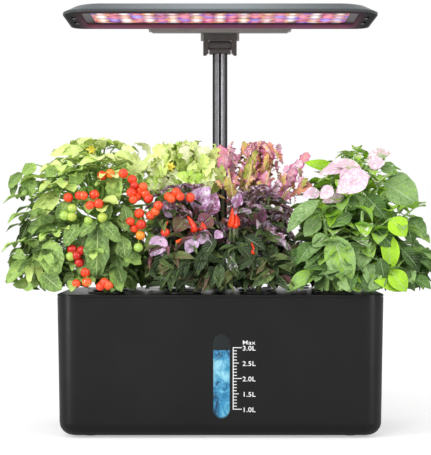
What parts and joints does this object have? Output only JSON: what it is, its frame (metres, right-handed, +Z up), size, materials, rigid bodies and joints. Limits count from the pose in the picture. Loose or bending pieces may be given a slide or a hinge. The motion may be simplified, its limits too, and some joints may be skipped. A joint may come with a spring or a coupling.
{
  "type": "countertop hydroponic garden",
  "caption": "Countertop hydroponic garden: water tank with level window, lift-off planted grow deck with pump, and a tilting grow lamp on a height-adjustable mast.",
  "frame": {"origin": "on the worktop under the middle of the tank", "axes": "+X to the right seen from the front, +Y from the window to the mast, +Z up"},
  "size_m": [0.424, 0.192, 0.4269],
  "materials": {
    "tank_plastic": "matte",
    "rubber": "matte",
    "clear_plastic": "gloss",
    "inner_plastic": "satin",
    "steel": "satin",
    "circuit_board": "satin",
    "button_plastic": "satin",
    "sponge": "matte",
    "ceramic_shaft": "polished",
    "clear_tube": "gloss",
    "cable_jacket": "satin",
    "tomato_leaf": "satin",
    "pepper_leaf": "satin",
    "basil_leaf": "satin",
    "lettuce_leaf": "satin",
    "frilly_leaf": "satin",
    "mast_aluminium": "satin",
    "hinge_plastic": "satin",
    "lamp_plastic": "satin",
    "led_board": "satin",
    "reflector_plastic": "gloss",
    "white_led": "gloss",
    "red_led": "gloss",
    "blue_led": "gloss"
  },
  "bodies": {
    "base": {"tank": "tank_plastic", "rubber_feet": "rubber", "window_lens": "clear_plastic", "window_gasket": "rubber", "window_retainer": "inner_plastic", "window_screws": "steel"},
    "deck": {"grow_deck": "tank_plastic", "mast_socket": "inner_plastic", "mast_collar": "tank_plastic", "control_housing": "inner_plastic", "power_inlet": "inner_plastic", "control_board": "circuit_board", "board_screws": "steel", "button_switches": "inner_plastic", "pod_baskets": "inner_plastic", "grow_sponges": "sponge", "pump_body": "inner_plastic", "pump_cover": "inner_plastic", "pump_shaft": "ceramic_shaft", "pump_riser": "clear_tube", "pump_cable": "cable_jacket", "tomato_front": "tomato_leaf", "tomato_back": "tomato_leaf", "pepper_left": "pepper_leaf", "pepper_right": "pepper_leaf", "basil_front": "basil_leaf", "basil_back": "basil_leaf", "leaf_lettuce": "lettuce_leaf", "frilly_lettuce": "frilly_leaf"},
    "rotor": {"pump_rotor": "inner_plastic"},
    "light_button": {"light_button": "button_plastic"},
    "pump_button": {"pump_button": "button_plastic"},
    "mast": {"mast_tube": "mast_aluminium", "mast_cable": "cable_jacket", "mast_head": "hinge_plastic"},
    "lamp": {"lamp_yoke": "hinge_plastic", "tilt_pin": "steel", "friction_washers": "inner_plastic", "lamp_housing": "lamp_plastic", "lamp_tray": "lamp_plastic", "lamp_screws": "steel", "led_board": "led_board", "reflector": "reflector_plastic", "white_leds": "white_led", "red_leds": "red_led", "blue_leds": "blue_led", "hinge_housing": "lamp_plastic", "hinge_lid": "lamp_plastic", "driver_board": "circuit_board", "yoke_screws": "steel"}
  },
  "joints": [
    {"name": "deck_lift", "type": "slide", "parent": "base", "child": "deck", "axis": [0, 0, 1], "range_m": [0, 0.1]},
    {"name": "pump_spin", "type": "hinge", "parent": "deck", "child": "rotor", "pos_m": [0.07, -0.021, 0.028], "axis": [1, 0, 0], "continuous": true},
    {"name": "light_press", "type": "slide", "parent": "deck", "child": "light_button", "axis": [0, 0, -1], "range_m": [0, 0.001], "stiffness_N_per_m": 1500, "springref_m": -0.0003},
    {"name": "pump_press", "type": "slide", "parent": "deck", "child": "pump_button", "axis": [0, 0, -1], "range_m": [0, 0.001], "stiffness_N_per_m": 1500, "springref_m": -0.0003},
    {"name": "mast_slide", "type": "slide", "parent": "deck", "child": "mast", "axis": [0, 0, 1], "range_m": [-0.09, 0.015]},
    {"name": "lamp_tilt", "type": "hinge", "parent": "mast", "child": "lamp", "pos_m": [0, 0.0665, 0.401], "axis": [-1, 0, 0], "range_deg": [0, 90]}
  ]
}
